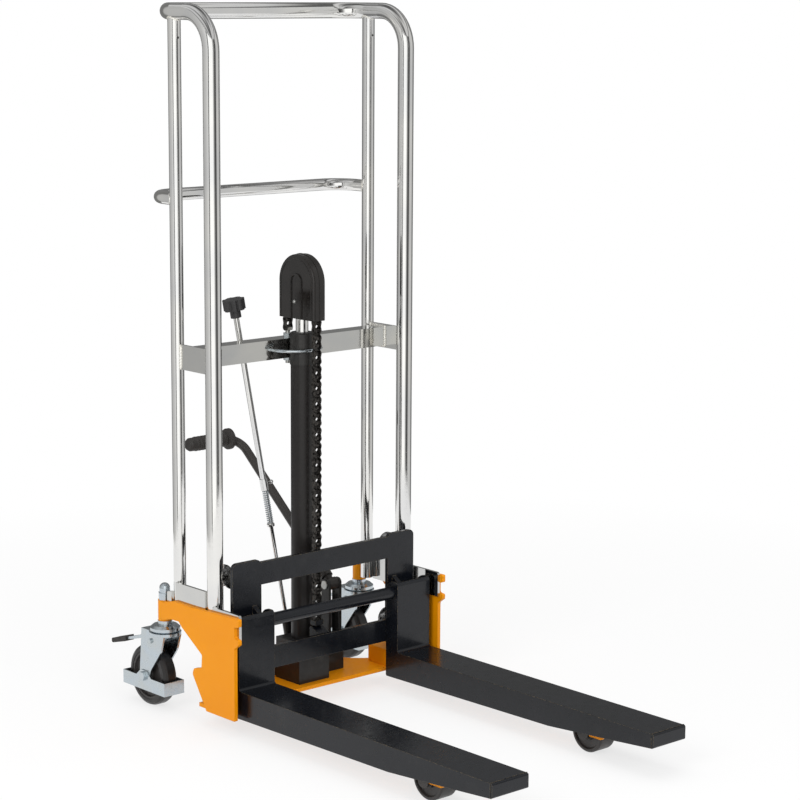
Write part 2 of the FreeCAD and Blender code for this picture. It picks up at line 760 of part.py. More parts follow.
def acorn_nut():
    """Domed nut on top of the left caster stem."""
    x, y = -caster_x, caster_y
    hexagon = hexagon_nut(24, (x, y, sleeve_top_z), (x, y, sleeve_top_z + 15))
    dome_r = 11.0
    dome = Part.makeSphere(dome_r, Vec(x, y, sleeve_top_z + 24))
    neck = rod(dome_r, (x, y, sleeve_top_z + 15), (x, y, sleeve_top_z + 24))
    nut = hexagon.fuse([dome, neck])
    return nut.cut(rod(stem_r, (x, y, sleeve_top_z - 1), (x, y, sleeve_top_z + 20)))


def yoke_leg(side):
    """One pressed leg of the yoke: wide at the crown and tapered to the axle."""
    near = -caster_x + side * yoke_inner
    far = near + side * yoke_t
    outline = [
        (caster_y - 25, crown_low_z + FUSE, 0), (caster_y + 52, crown_low_z + FUSE, 0),
        (wheel_y + 17, caster_wheel_r - 4, 6), (wheel_y + 10, caster_wheel_r - 17, 10),
        (wheel_y - 13, caster_wheel_r - 17, 10), (wheel_y - 21, caster_wheel_r + 14, 30),
        (caster_y - 14, crown_low_z - 34, 24),
    ]
    return plate_x(outline, min(near, far), max(near, far))


def caster_yoke():
    """Left yoke: round crown with a rear shelf and two tapered legs."""
    x, y = -caster_x, caster_y
    half = yoke_inner + yoke_t
    crown = rod(crown_r, (x, y, crown_low_z), (x, y, crown_top_z))
    shelf = box(x - half, x + half, y, y + 52, crown_low_z, crown_top_z)
    yoke = crown.fuse([shelf, yoke_leg(-1), yoke_leg(1)])
    yoke = yoke.cut(rod(king_pin_r + RUNNING, (x, y, crown_low_z - 1), (x, y, crown_top_z + 1)))
    reach = half + 1
    for y_hole, z_hole, radius in ((wheel_y, caster_wheel_r, caster_bore_r),
                                   (caster_y + pedal_pivot_y, pedal_z, pedal_pin_r + RUNNING)):
        yoke = yoke.cut(rod(radius, (x - reach, y_hole, z_hole), (x + reach, y_hole, z_hole)))
    return yoke


def toe_guard():
    """Left toe guard: a rectangular band around the wheel, hung from the axle by two ears."""
    outer_x = guard_half_width
    front, rear = wheel_y - guard_length / 2, wheel_y + guard_length / 2
    high = guard_low_z + guard_height
    band = box(-caster_x - outer_x, -caster_x + outer_x, front, rear, guard_low_z, high)
    t = guard_t
    band = band.cut(box(-caster_x - outer_x + t, -caster_x + outer_x - t, front + t, rear - t,
                        guard_low_z - 1, high + 1))
    ear = [
        (wheel_y - 26, high - FUSE, 0), (wheel_y + 26, high - FUSE, 0),
        (wheel_y + 10, caster_wheel_r + 12, 8), (wheel_y - 10, caster_wheel_r + 12, 8),
    ]
    for side in (-1, 1):
        near, far = -caster_x + side * (outer_x - t), -caster_x + side * outer_x
        band = band.fuse(plate_x(ear, min(near, far), max(near, far)))
    return band.cut(rod(caster_bore_r, (-caster_x - outer_x - 1, wheel_y, caster_wheel_r),
                        (-caster_x + outer_x + 1, wheel_y, caster_wheel_r)))


def caster_axle():
    """Left axle bolt with a hexagon head outside and a nut inside."""
    reach = guard_half_width
    z, x = caster_wheel_r, -caster_x
    bolt = rod(caster_bore_r, (x - reach, wheel_y, z), (x + reach + 9, wheel_y, z))
    head = hexagon_nut(17, (x - reach - 6, wheel_y, z), (x - reach, wheel_y, z))
    nut = hexagon_nut(17, (x + reach, wheel_y, z), (x + reach + 7, wheel_y, z))
    return bolt.fuse([head, nut])


def caster_hub():
    """Left wheel centre with a barrel hub and dished sides."""
    half = caster_wheel_width / 2
    hub_half = yoke_inner - hub_gap
    rim_r = caster_wheel_r - tyre_depth
    bore = caster_bore_r + RUNNING
    profile = [
        (bore, -hub_half), (caster_bore_r + 7, -hub_half), (caster_bore_r + 9, -half + 6),
        (rim_r - 7, -half + 6), (rim_r - 5, -half + 1), (rim_r, -half + 1),
        (rim_r, half - 1), (rim_r - 5, half - 1), (rim_r - 7, half - 6),
        (caster_bore_r + 9, half - 6), (caster_bore_r + 7, hub_half), (bore, hub_half),
    ]
    return turned(profile, (-caster_x, wheel_y, caster_wheel_r), (1, 0, 0))


def caster_tyre():
    """Left tyre, with rounded shoulders."""
    half = caster_wheel_width / 2
    rim_r = caster_wheel_r - tyre_depth
    profile = [
        (rim_r, -half), (caster_wheel_r - 7, -half), (caster_wheel_r - 2, -half + 3),
        (caster_wheel_r, -half + 8), (caster_wheel_r, half - 8), (caster_wheel_r - 2, half - 3),
        (caster_wheel_r - 7, half), (rim_r, half),
    ]
    return turned(profile, (-caster_x, wheel_y, caster_wheel_r), (1, 0, 0))


def pedal_height(distance):
    """Height of the pedal's centre line, at a distance behind the swivel axis."""
    sloping = distance - pedal_pivot_y - pedal_knee
    return pedal_z - pedal_drop * max(0.0, sloping) / (pedal_length - pedal_pivot_y - pedal_knee)


def brake_pedal():
    """Left brake lever: cross pin in the yoke and a flat arm that bears on the tyre."""
    x = -caster_x
    y = caster_y + pedal_pivot_y
    reach = yoke_inner + yoke_t + 4
    pin = rod(pedal_pin_r, (x - reach, y, pedal_z), (x + reach, y, pedal_z))
    boss = rod(pedal_pin_r + 3, (x - 10, y, pedal_z), (x + 10, y, pedal_z))
    arm_end = pedal_length - 12
    knee_y, end_y, end_z = y + pedal_knee, caster_y + arm_end, pedal_height(arm_end)
    arm = [
        (y, pedal_z + 4, 0), (y, pedal_z - 4, 0), (knee_y, pedal_z - 4, 20),
        (end_y, end_z - 2, 0), (end_y, end_z + 2, 0), (knee_y, pedal_z + 4, 20),
    ]
    shoe = box(x - 7, x + 7, y + shoe_start, y + shoe_end, 2 * caster_wheel_r + shoe_gap, pedal_z)
    return pin.fuse([boss, plate_x(arm, x - 7, x + 7), shoe])


def brake_tip():
    """Rubber pad over the end of the left brake lever."""
    start = pedal_length - pedal_tip_length
    low, high = pedal_height(start), pedal_height(pedal_length)
    outline = [
        (caster_y + start, low - 6, 3), (caster_y + pedal_length, high - 5, 4),
        (caster_y + pedal_length, high + 5, 4), (caster_y + start, low + 6, 3),
    ]
    pad = plate_x(outline, -caster_x - 11, -caster_x + 11)
    return pad.cut(brake_pedal())


# ---- ram, pulley and cover ----
def ram_rod():
    """Ram with the piston at its foot; it carries the pulley yoke."""
    foot = block_top_z + 10
    rod_part = rod(ram_r, (0, cylinder_y, foot), (0, cylinder_y, cover_low_z + 6))
    piston = rod(barrel_bore_r - RUNNING, (0, cylinder_y, foot), (0, cylinder_y, foot + piston_length))
    return rod_part.fuse(piston)


def pulley_yoke():
    """Fork on top of the ram that holds the pulley's axle."""
    inner = pulley_land_width / 2 + 2.0
    outer = pulley_yoke_half
    foot = cover_low_z + 6
    yoke = box(-outer, outer, cylinder_y - 16, cylinder_y + 16, foot, foot + 14)
    outline = [
        (cylinder_y - 16, foot + FUSE, 0), (cylinder_y + 16, foot + FUSE, 0),
        (cylinder_y + 14, pulley_rest_z + 16, 12), (cylinder_y - 14, pulley_rest_z + 16, 12),
    ]
    for side in (-1, 1):
        near, far = side * inner, side * outer
        yoke = yoke.fuse(plate_x(outline, min(near, far), max(near, far)))
    return yoke.cut(rod(pulley_axle_r, (-outer - 1, cylinder_y, pulley_rest_z),
                        (outer + 1, cylinder_y, pulley_rest_z)))


def pulley_axle():
    reach = cover_half_width - cover_wall
    return rod(pulley_axle_r, (-reach, cylinder_y, pulley_rest_z), (reach, cylinder_y, pulley_rest_z))


def chain_pulley():
    """Pulley whose narrow land runs between the side plates of the chain."""
    land_r = chain_r - chain_roller_r - TOUCH
    half = pulley_land_width / 2
    bore = pulley_axle_r + RUNNING
    profile = [
        (bore, -half - 1.6), (pulley_hub_r, -half - 1.6), (pulley_hub_r, -half + 2), (land_r - 8, -half + 2),
        (land_r - 6, -half), (land_r, -half), (land_r, half), (land_r - 6, half), (land_r - 8, half - 2),
        (pulley_hub_r, half - 2), (pulley_hub_r, half + 1.6), (bore, half + 1.6),
    ]
    return turned(profile, (0, cylinder_y, pulley_rest_z), (1, 0, 0))


def cover_outline(radius, low_z):
    """Arch outline of the pulley cover: straight sides under a half circle."""
    return [
        (cylinder_y - radius, low_z), (cylinder_y - radius, pulley_rest_z),
        (cylinder_y, pulley_rest_z + radius), (cylinder_y + radius, pulley_rest_z),
        (cylinder_y + radius, low_z),
    ]


def arch(radius, low_z, x0, x1):
    left, spring_left, crown, spring_right, right = [Vec(x0, y, z) for y, z in cover_outline(radius, low_z)]
    edges = [
        Part.makeLine(left, spring_left), Part.Arc(spring_left, crown, spring_right).toShape(),
        Part.makeLine(spring_right, right), Part.makeLine(right, left),
    ]
    return Part.Face(Part.Wire(edges)).extrude(Vec(x1 - x0, 0, 0))


def cover_half():
    """Left half of the pulley cover: a moulded shell open below, with an arched step on its face."""
    w = cover_half_width
    shell = arch(cover_r, cover_low_z, -w, 0)
    edge = [e for e in shell.Edges if abs(e.CenterOfMass.x + w) < 1e-6 and e.CenterOfMass.z > cover_low_z + 1]
    shell = shell.makeFillet(5.0, edge)
    cavity = arch(cover_r - cover_wall, cover_low_z - 1, -w + cover_wall, 1)
    shell = shell.cut(cavity)
    step = arch(cover_r - 38, cover_low_z, -w - 2.5, -w + FUSE)
    step = step.cut(arch(cover_r - 38 - 4, cover_low_z - 1, -w - 3, -w + 1))
    shell = shell.fuse(step)
    y, z = cylinder_y + 4, cover_low_z + cover_screw_rise
    return shell.cut(rod(cover_screw_r, (-w - 4, y, z), (0, y, z)))


def cover_screw():
    """Left cover screw, from the face of the cover to the side of the pulley yoke."""
    y, z = cylinder_y + 4, cover_low_z + cover_screw_rise
    w = cover_half_width
    shank = rod(cover_screw_r, (-w, y, z), (-pulley_yoke_half, y, z))
    head_r = cover_screw_r + 1.7
    dome = Part.makeSphere(head_r, Vec(-w, y, z))
    return shank.fuse(dome.common(box(-w - 5, -w, y - 5, y + 5, z - 5, z + 5)))


# ---- chain ----
def pulley_groove():
    """Room that the pulley's land takes between the side plates of the chain."""
    half = pulley_land_width / 2 + 0.6
    radius = chain_r - chain_roller_r
    return rod(radius, (-half, cylinder_y, pulley_rest_z), (half, cylinder_y, pulley_rest_z))


def chain_strand(y, bottom_z):
    """Straight strand below the pulley: its plates swell at each pin and narrow between pins."""
    top_z = pulley_rest_z
    count = int(round((top_z - bottom_z) / chain_pitch))
    half = chain_width / 2
    edges = []
    for side, first, last in ((1, top_z, bottom_z), (-1, bottom_z, top_z)):
        waist = y + side * chain_waist_half
        step = (last - first) / count
        for i in range(count):
            start = Vec(-half, waist, first + i * step)
            middle = Vec(-half, y + side * chain_plate_half, first + (i + 0.5) * step)
            end = Vec(-half, waist, first + (i + 1) * step)
            edges.append(Part.Arc(start, middle, end).toShape())
        across = Vec(-half, waist - side * 2 * chain_waist_half, last)
        edges.append(Part.makeLine(Vec(-half, waist, last), across))
    strand = Part.Face(Part.Wire(edges)).extrude(Vec(chain_width, 0, 0))
    return strand.cut(pulley_groove())


def chain_wrap():
    """The half turn of chain over the pulley."""
    half = chain_width / 2
    outer = arch(chain_r + chain_plate_half, pulley_rest_z - FUSE, -half, half)
    inner = arch(chain_r - chain_plate_half, pulley_rest_z - 2, -half - 1, half + 1)
    below = box(-half - 1, half + 1, -100, 200, pulley_rest_z - 3, pulley_rest_z)
    return outer.cut([inner, below, pulley_groove()])


# ---- forks and carriage ----
def fork():
    """Left fork: an inverted channel with a closed tip and a shank that hangs on the fork bar."""
    outer, inner, t = -fork_outer_x, -fork_inner_x, fork_wall
    heel = -shank_rear
    flange = [
        (heel, fork_heel_z, 4), (heel, shank_top_z, 22), (-shank_front, shank_top_z, 8),
        (-shank_front, fork_top_z, 6), (fork_tip_y, fork_top_z, 4), (fork_tip_y, fork_tip_z, 4),
        (fork_kink_y - 180, fork_kink_z + 14, 0), (fork_kink_y, fork_kink_z, 0),
    ]
    solid = plate_x(flange, outer, inner)
    cavity = [
        (heel + 1, fork_heel_z - 20, 0), (heel + 1, shank_top_z + 1, 0),
        (-shank_front + t, shank_top_z + 1, 0), (-shank_front + t, fork_top_z - t, 0),
        (fork_tip_y + t, fork_top_z - t, 0), (fork_tip_y + t, fork_heel_z - 20, 0),
    ]
    solid = solid.cut(plate_x(cavity, outer + t, inner - t))
    hole_r = fork_bar_r + BOLT_PLAY
    return solid.cut(rod(hole_r, (outer - 1, fork_bar_y, fork_bar_z), (inner + 1, fork_bar_y, fork_bar_z)))


def guide_x():
    """Distance of a guide roller's axis from the middle of the machine."""
    return tube_x - front_tube_r - guide_throat_r - TOUCH


def carriage_frame():
    """Welded frame behind the forks: fork bar, two back plates and two cross rails."""
    front, rear = -shank_rear + TOUCH, -shank_rear + TOUCH + backplate_t
    plate_outer = guide_x() + backplate_half_width - 12
    plate_inner = fork_inner_x + 4
    bar_end = fork_outer_x + 2
    frame = rod(fork_bar_r, (-bar_end, fork_bar_y, fork_bar_z), (bar_end, fork_bar_y, fork_bar_z))
    pieces = []
    for side in (-1, 1):
        near, far = side * plate_inner, side * plate_outer
        outline = [
            (near, backplate_low_z, 6), (near, backplate_top_z, 12),
            (far, backplate_top_z, 12), (far, backplate_low_z, 6),
        ]
        pieces.append(plate_y(outline, front, rear))
        lug = [
            (front + FUSE, fork_bar_z - 30, 0), (front + FUSE, fork_bar_z + 30, 0),
            (fork_bar_y - 6, fork_bar_z + 15, 8), (fork_bar_y - 6, fork_bar_z - 15, 8),
        ]
        lug_x = side * (fork_inner_x + 22)
        pieces.append(plate_x(lug, lug_x - 5, lug_x + 5))
    for z in (backplate_low_z + 6, backplate_top_z - 6 - crossrail_height):
        pieces.append(box(-plate_inner - 1, plate_inner + 1, front, rear, z, z + crossrail_height))
    bracket = [
        (rear - FUSE, backplate_low_z + 12, 0), (chain_front_y + 6, chain_hook_z - 42, 4),
        (chain_front_y + 6, chain_hook_z - 10, 4), (rear - FUSE, backplate_low_z + 6 + crossrail_height, 0),
    ]
    pieces.append(plate_x(bracket, -14, 14))
    pieces.append(box(-11, 11, chain_front_y - 9, chain_front_y + 7, chain_hook_z - 10 - FUSE, chain_hook_z))
    return frame.fuse(pieces)


def roller_pins():
    """Four pins that carry the guide rollers, standing out behind the back plates."""
    start = -shank_rear + TOUCH + backplate_t
    pins = []
    for side in (-1, 1):
        for z in (guide_low_z, guide_high_z):
            x = side * guide_x()
            pin = rod(guide_pin_r, (x, start, z), (x, guide_width / 2 + 5, z))
            head = rod(guide_pin_r + 3, (x, guide_width / 2 + 0.6, z), (x, guide_width / 2 + 5, z))
            shoulder = rod(guide_pin_r + 4, (x, start, z), (x, -guide_width / 2 - 0.6, z))
            pins.append(pin.fuse([head, shoulder]))
    return pins


def guide_roller(x, z):
    """Grooved roller whose throat runs on the inner side of a front upright."""
    half = guide_width / 2
    bore = guide_pin_r + RUNNING
    profile = [(bore, -half), (guide_rim_r, -half), (guide_rim_r, half), (bore, half)]
    blank = turned(profile, (x, 0, z), (0, 1, 0))
    groove_r = front_tube_r + TOUCH
    centre = guide_throat_r + groove_r
    groove = Part.makeTorus(centre, groove_r, Vec(x, 0, z), Vec(0, 1, 0))
    return blank.cut(groove)


# ---- build ----
os.makedirs("parts", exist_ok=True)

save("mast_hoop", mast_hoop)
save("rear_uprights", rear_upright(), mirrored(rear_upright()))
save("push_handle", push_handle())
save("crossbar", crossbar())
left_gussets = [upper_gusset()] + lower_gusset().Solids
save("gusset_plates", *(left_gussets + [mirrored(plate) for plate in left_gussets]))
save("cylinder_bow", cylinder_bow())
save("chain_anchor", chain_anchor())
save("frame_nuts", *frame_nuts())

save_pair("side_plate", side_plate())
save("base_crossmember", base_crossmember())
save_pair("leg", leg())
save("load_roller_axles", load_roller_axle(), mirrored(load_roller_axle()))
save_pair("load_roller", load_roller())

save("cylinder_barrel", cylinder_barrel())
save("gland_nut", gland_nut())
save("pump_block", pump_block())
save("lever_pin", lever_pin())
save("pump_lever", pump_lever())
save("lever_grip", lever_grip())
save("pump_plunger", pump_plunger())

save("release_rod", release_rod())
save("release_knob", release_knob())
save("release_spring", release_spring())

save_pair("caster_stem", caster_stem())
save_pair("caster_yoke", caster_yoke())
save_pair("toe_guard", toe_guard())
save_pair("caster_axle", caster_axle())
save_pair("caster_hub", caster_hub())
save_pair("caster_tyre", caster_tyre())
save_pair("brake_pedal", brake_pedal())
save_pair("brake_tip", brake_tip())

save("ram_rod", ram_rod())
save("pulley_yoke", pulley_yoke())
save("pulley_axle", pulley_axle())
save("chain_pulley", chain_pulley())
save_pair("cover", cover_half())
save("cover_screws", cover_screw(), mirrored(cover_screw()))

save("chain_wrap", chain_wrap())
save("chain_front", chain_strand(chain_front_y, chain_hook_z))
save("chain_rear", chain_strand(chain_rear_y, chain_anchor_z - 8))

save_pair("fork", fork())
save("carriage_frame", carriage_frame())
save("roller_pins", *roller_pins())
save_pair("lower_guide_roller", guide_roller(-guide_x(), guide_low_z))
save_pair("upper_guide_roller", guide_roller(-guide_x(), guide_high_z))
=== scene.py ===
"""Looks of a hand hydraulic fork stacker, in metres: finishes, lift chain, cover trim, welds and studio."""

import json
import math
import random

import bmesh
import bpy
from mathutils import Matrix, Vector


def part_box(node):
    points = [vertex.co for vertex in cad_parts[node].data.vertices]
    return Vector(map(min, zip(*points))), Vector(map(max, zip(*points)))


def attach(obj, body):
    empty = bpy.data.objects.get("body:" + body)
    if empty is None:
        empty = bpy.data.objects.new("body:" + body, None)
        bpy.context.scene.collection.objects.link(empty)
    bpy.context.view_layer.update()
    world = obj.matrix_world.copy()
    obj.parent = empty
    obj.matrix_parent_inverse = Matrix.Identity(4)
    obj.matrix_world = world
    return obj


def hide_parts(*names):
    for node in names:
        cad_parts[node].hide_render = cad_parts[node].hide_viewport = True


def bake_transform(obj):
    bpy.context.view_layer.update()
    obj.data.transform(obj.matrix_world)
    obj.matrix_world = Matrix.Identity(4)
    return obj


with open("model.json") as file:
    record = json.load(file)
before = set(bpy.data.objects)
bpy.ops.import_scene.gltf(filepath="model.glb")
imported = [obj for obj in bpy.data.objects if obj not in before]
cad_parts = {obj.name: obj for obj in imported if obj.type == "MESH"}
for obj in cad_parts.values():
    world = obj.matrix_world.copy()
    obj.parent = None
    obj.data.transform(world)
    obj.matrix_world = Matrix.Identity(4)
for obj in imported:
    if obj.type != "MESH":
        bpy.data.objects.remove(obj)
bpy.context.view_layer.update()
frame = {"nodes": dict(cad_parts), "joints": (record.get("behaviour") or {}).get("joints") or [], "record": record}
NODES = frame["nodes"]
random.seed(7)


# ---- places and sizes read from the frame ----
def low(node):
    return Vector(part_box(node)[0])


def high(node):
    return Vector(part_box(node)[1])


def middle(node):
    return (low(node) + high(node)) / 2


def joint_place(name):
    found = next(joint for joint in frame["joints"] if joint["name"] == name)
    return Vector(found["pos_m"])


# ---- shader helpers ----
def add(tree, kind, inputs=None, **settings):
    """New node; each input is a value or another node's output."""
    node = tree.nodes.new(kind)
    for key, value in settings.items():
        setattr(node, key, value)
    for key, value in (inputs or {}).items():
        if isinstance(value, bpy.types.NodeSocket):
            tree.links.new(value, node.inputs[key])
        else:
            node.inputs[key].default_value = value
    return node


def new_material(name):
    material = bpy.data.materials.new(name)
    material.use_nodes = True
    return material, material.node_tree, material.node_tree.nodes["Principled BSDF"]


def blank_material(name):
    """Material with an empty node tree."""
    material = bpy.data.materials.new(name)
    material.use_nodes = True
    material.node_tree.nodes.clear()
    return material


def where(tree, stretch=(1, 1, 1)):
    """Object coordinates in metres, stretched per axis."""
    coordinates = add(tree, "ShaderNodeTexCoord").outputs["Object"]
    return add(tree, "ShaderNodeMapping", {"Vector": coordinates, "Scale": stretch}).outputs["Vector"]


def noise(tree, scale, detail=3.0, stretch=(1, 1, 1), roughness=0.5):
    node = add(tree, "ShaderNodeTexNoise", {"Vector": where(tree, stretch), "Scale": scale, "Detail": detail,
                                            "Roughness": roughness})
    return node.outputs["Fac"]


def remap(tree, value, from_low, from_high, to_low, to_high):
    node = add(tree, "ShaderNodeMapRange", {"Value": value, "From Min": from_low, "From Max": from_high,
                                            "To Min": to_low, "To Max": to_high})
    return node.outputs["Result"]


def blend_colour(tree, factor, first, second):
    """Mix of two colours, through the Mix node's own colour sockets: 6 and 7 in, 2 out."""
    node = add(tree, "ShaderNodeMix", data_type="RGBA")
    for index, value in ((0, factor), (6, first), (7, second)):
        if isinstance(value, bpy.types.NodeSocket):
            tree.links.new(value, node.inputs[index])
        else:
            node.inputs[index].default_value = value
    return node.outputs[2]


def rgb(red, green, blue):
    """Linear colour from 0-255 display values."""
    def linear(value):
        value /= 255
        return value / 12.92 if value <= 0.04045 else ((value + 0.055) / 1.055) ** 2.4
    return (linear(red), linear(green), linear(blue), 1.0)


def bump(tree, height, strength, distance, normal=None):
    inputs = {"Height": height, "Strength": strength, "Distance": distance}
    if normal is not None:
        inputs["Normal"] = normal
    return add(tree, "ShaderNodeBump", inputs).outputs["Normal"]


def soft_edges(tree, radius):
    """Normal that rounds sharp edges in shading."""
    return add(tree, "ShaderNodeBevel", {"Radius": radius}, samples=4).outputs["Normal"]


def edge_mask(tree, radius, start, end):
    """1 along sharp outer and inner edges, 0 on open faces."""
    rounded = soft_edges(tree, radius)
    flat = add(tree, "ShaderNodeNewGeometry").outputs["Normal"]
    dot = add(tree, "ShaderNodeVectorMath", {0: rounded, 1: flat}, operation="DOT_PRODUCT").outputs["Value"]
    return remap(tree, dot, end, start, 1.0, 0.0)


def link(tree, shader, **inputs):
    for key, value in inputs.items():
        name = key.replace("_", " ")
        if isinstance(value, bpy.types.NodeSocket):
            tree.links.new(value, shader.inputs[name])
        else:
            shader.inputs[name].default_value = value


# ---- materials ----
def chrome(name, light=(222, 222, 222), pale=(234, 233, 230)):
    """Bright chrome plate with faint polishing waves."""
    material, tree, shader = new_material(name)
    cloud = noise(tree, 9.0, 3.0)
    colour = blend_colour(tree, remap(tree, cloud, 0.35, 0.65, 0.0, 1.0), rgb(*light), rgb(*pale))
    haze = remap(tree, noise(tree, 140.0, 4.0), 0.3, 0.8, 0.05, 0.13)
    waves = bump(tree, noise(tree, 26.0, 2.0, stretch=(1, 1, 0.12)), 0.05, 0.001)
    pores = bump(tree, noise(tree, 900.0, 2.0), 0.03, 0.0002, waves)
    link(tree, shader, Base_Color=colour, Metallic=1.0, Roughness=haze, Normal=pores)
    return material


def zinc(name, tint=(190, 200, 208), rough=(0.16, 0.30)):
    """Zinc plate: cool and warm patches, grey specks, fine marks and soft edges."""
    material, tree, shader = new_material(name)
    patches = remap(tree, noise(tree, 38.0, 4.0), 0.3, 0.7, 0.0, 1.0)
    warm = rgb(tint[0] + 3, tint[1] - 1, tint[2] - 8)
    colour = blend_colour(tree, patches, rgb(*tint), warm)
    specks = remap(tree, noise(tree, 260.0, 3.0), 0.62, 0.72, 0.0, 0.12)
    colour = blend_colour(tree, specks, colour, rgb(130, 130, 128))
    roughness = remap(tree, noise(tree, 120.0, 4.0), 0.3, 0.7, *rough)
    marks = bump(tree, noise(tree, 420.0, 3.0), 0.12, 0.0003, soft_edges(tree, 0.0008))
    link(tree, shader, Base_Color=colour, Metallic=1.0, Roughness=roughness, Normal=marks)
    return material


def enamel(name, colour, dark, rough, edge_colour=None, dust=0.0, peel=0.05, coat=0.25, gloss=0.3):
    """Paint on steel: orange peel, soft edges, a film of dust, and worn edges when edge_colour is given."""
    edge_radius = 0.0015
    dust_colour = rgb(92, 90, 84)
    material, tree, shader = new_material(name)
    cloud = remap(tree, noise(tree, 6.0, 4.0), 0.3, 0.7, 0.0, 1.0)
    paint = blend_colour(tree, cloud, rgb(*colour), rgb(*dark))
    roughness = remap(tree, noise(tree, 70.0, 5.0), 0.3, 0.7, *rough)
    if dust:
        film = remap(tree, noise(tree, 22.0, 6.0, roughness=0.7), 0.55, 0.75, 0.0, dust)
        paint = blend_colour(tree, film, paint, dust_colour)
    if edge_colour:
        ragged = remap(tree, noise(tree, 230.0, 4.0, roughness=0.7), 0.42, 0.60, 0.0, 1.0)
        edges = edge_mask(tree, edge_radius, 0.995, 0.90)
        worn = add(tree, "ShaderNodeMath", {0: edges, 1: ragged}, operation="MULTIPLY").outputs[0]
        paint = blend_colour(tree, worn, paint, rgb(*edge_colour))
    skin = bump(tree, noise(tree, 520.0, 2.0), peel, 0.0004, soft_edges(tree, edge_radius))
    link(tree, shader, Base_Color=paint, Roughness=roughness, Normal=skin, Specular_IOR_Level=gloss)
    link(tree, shader, Coat_Weight=coat, Coat_Roughness=0.12)
    return material


def moulded(name, colour, rough, grain_scale=1400.0, grain=0.12, radius=0.001):
    """Moulded plastic or rubber with a fine grain and a little bloom."""
    material, tree, shader = new_material(name)
    bloom = remap(tree, noise(tree, 30.0, 5.0), 0.35, 0.75, 0.0, 0.5)
    lighter = tuple(min(255, channel * 1.35 + 8) for channel in colour)
    paint = blend_colour(tree, bloom, rgb(*colour), rgb(*lighter))
    roughness = remap(tree, noise(tree, 90.0, 4.0), 0.3, 0.7, *rough)
    skin = bump(tree, noise(tree, grain_scale, 2.0), grain, 0.0003, soft_edges(tree, radius))
    link(tree, shader, Base_Color=paint, Roughness=roughness, Normal=skin)
    return material


def oiled_steel(name, colour=(74, 71, 68), rough=(0.22, 0.5)):
    """Bare steel with dark grease in patches."""
    material, tree, shader = new_material(name)
    grease = remap(tree, noise(tree, 160.0, 4.0), 0.42, 0.62, 0.0, 1.0)
    paint = blend_colour(tree, grease, rgb(*colour), rgb(22, 20, 19))
    roughness = remap(tree, noise(tree, 210.0, 3.0), 0.3, 0.7, *rough)
    skin = bump(tree, noise(tree, 700.0, 3.0), 0.15, 0.0003, soft_edges(tree, 0.0004))
    link(tree, shader, Base_Color=paint, Metallic=0.85, Roughness=roughness, Normal=skin)
    return material


MATERIALS = {
    "chrome": chrome("chrome_tube"),
    # darker copy of the tube chrome: painted shade standing in for the darker reflections on the flat crossbar and
    # gusset faces
    "chrome_flat": chrome("chrome_flat", (196, 197, 197), (208, 207, 203)),
    "hard_chrome": chrome("hard_chrome"),
    "zinc": zinc("zinc_plate"),
    "zinc_dull": zinc("zinc_dull", (176, 178, 178), (0.3, 0.5)),
    "weld": zinc("plated_weld", (244, 244, 241), (0.30, 0.50)),
    "orange": enamel("orange_enamel", (236, 150, 0), (231, 142, 0), (0.34, 0.46), peel=0.04, coat=0.0,
                     gloss=0.18),
    "black": enamel("black_enamel", (17, 20, 26), (11, 13, 18), (0.16, 0.30), edge_colour=(112, 98, 74),
                    dust=0.06, coat=0.12),
    "barrel": enamel("barrel_enamel", (33, 30, 29), (27, 25, 24), (0.34, 0.48), dust=0.05, coat=0.1,
                     gloss=0.25),
    "cast": enamel("cast_black", (36, 34, 32), (24, 23, 22), (0.45, 0.65), peel=0.35, dust=0.2),
    "lever": enamel("lever_enamel", (52, 48, 45), (40, 37, 35), (0.38, 0.55), peel=0.12, dust=0.1),
    "plastic": moulded("cover_plastic", (21, 18, 16), (0.12, 0.24), 1800.0, 0.02, radius=0.0015),
    "knob": moulded("knob_plastic", (34, 33, 34), (0.30, 0.45)),
    "rubber": moulded("grip_rubber", (38, 35, 33), (0.55, 0.75), 900.0, 0.25),
    "tyre": moulded("tyre_rubber", (17, 14, 13), (0.25, 0.42), 700.0, 0.08),
    "hub": moulded("hub_casting", (40, 37, 36), (0.35, 0.5), 500.0, 0.2),
    "roller": moulded("roller_nylon", (40, 37, 36), (0.35, 0.5), 500.0, 0.1),
    "chain": oiled_steel("chain_steel"),
    "turned": oiled_steel("turned_steel", (150, 150, 150), (0.2, 0.35)),
}
FINISH = {
    "chrome": ["mast_hoop", "rear_uprights", "push_handle"],
    # the flat crossbar and gussets take the darker chrome copy, which paints shade into their colour
    "chrome_flat": ["crossbar", "gusset_plates"],
    "hard_chrome": ["ram_rod", "release_rod"],
    "zinc": ["cylinder_bow", "caster_stem_left", "caster_stem_right", "caster_yoke_left", "caster_yoke_right",
             "toe_guard_left", "toe_guard_right", "caster_axle_left", "caster_axle_right", "brake_pedal_left",
             "brake_pedal_right", "frame_nuts", "release_spring"],
    "zinc_dull": ["chain_anchor", "lever_pin", "cover_screws", "pulley_axle", "pulley_yoke",
                  "roller_pins", "pump_plunger"],
    "orange": ["side_plate_left", "side_plate_right", "base_crossmember", "leg_left", "leg_right"],
    "black": ["fork_left", "fork_right", "carriage_frame"],
    "barrel": ["cylinder_barrel"],
    "cast": ["pump_block", "gland_nut"],
    "lever": ["pump_lever", "load_roller_axles"],
    "plastic": ["cover_left", "cover_right"],
    "knob": ["release_knob"],
    "rubber": ["lever_grip", "brake_tip_left", "brake_tip_right"],
    "tyre": ["caster_tyre_left", "caster_tyre_right"],
    "hub": ["caster_hub_left", "caster_hub_right"],
    "roller": ["load_roller_left", "load_roller_right"],
    "turned": ["chain_pulley", "lower_guide_roller_left", "lower_guide_roller_right",
               "upper_guide_roller_left", "upper_guide_roller_right"],
    "chain": ["chain_front", "chain_rear", "chain_wrap"],
}
for finish, members in FINISH.items():
    for node in members:
        NODES[node].data.materials.clear()
        NODES[node].data.materials.append(MATERIALS[finish])


